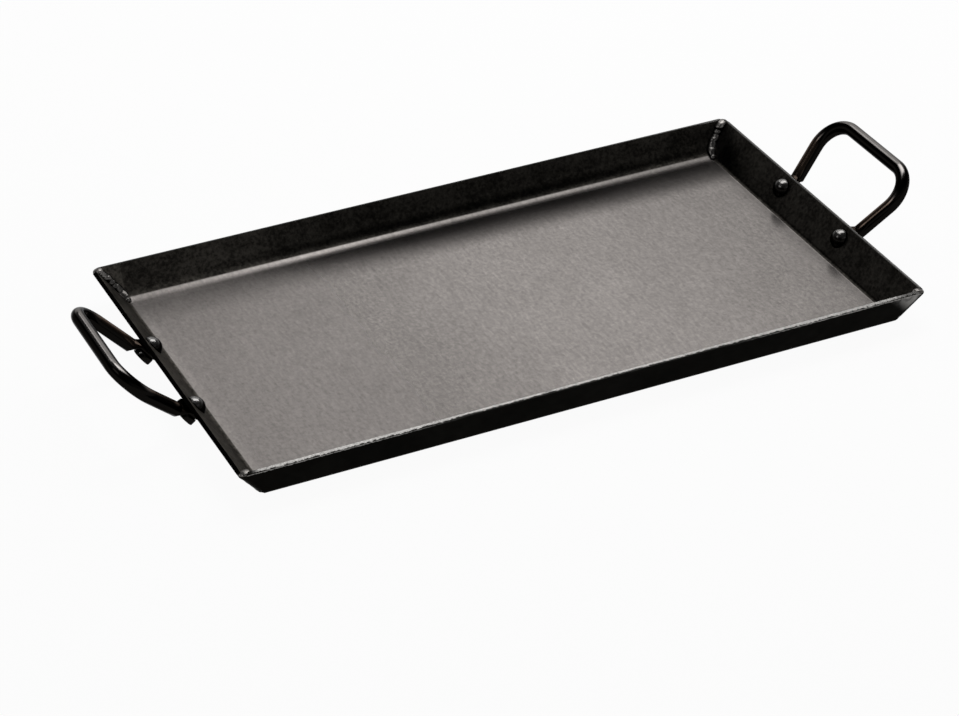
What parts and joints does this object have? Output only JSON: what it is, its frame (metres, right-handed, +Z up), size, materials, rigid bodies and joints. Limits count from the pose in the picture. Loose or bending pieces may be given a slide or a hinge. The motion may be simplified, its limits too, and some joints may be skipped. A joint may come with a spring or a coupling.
{
  "type": "camp griddle plate",
  "caption": "Shallow rectangular griddle tray folded from seasoned steel sheet, with welded corners and a riveted rod loop handle at each end, for cooking over a camp stove.",
  "frame": {"origin": "middle of the flat underside", "axes": "+X along the length towards the right handle, +Y to the back wall, +Z up"},
  "size_m": [0.5432, 0.254, 0.0554],
  "materials": {
    "seasoned_steel": "oil-seasoned, satin floor and near-black walls, worn bare along the rim",
    "weld_steel": "rippled bead, seasoned over",
    "handle_steel": "smooth semi-gloss black-brown seasoning",
    "rivet_steel": "smooth semi-gloss, seasoned over"
  },
  "bodies": {
    "root": {"griddle_pan": "seasoned_steel", "weld_front_left": "weld_steel", "weld_front_right": "weld_steel", "weld_back_left": "weld_steel", "weld_back_right": "weld_steel", "handle_left": "handle_steel", "handle_right": "handle_steel", "rivet_left_front": "rivet_steel", "rivet_left_back": "rivet_steel", "rivet_right_front": "rivet_steel", "rivet_right_back": "rivet_steel"}
  },
  "joints": []
}
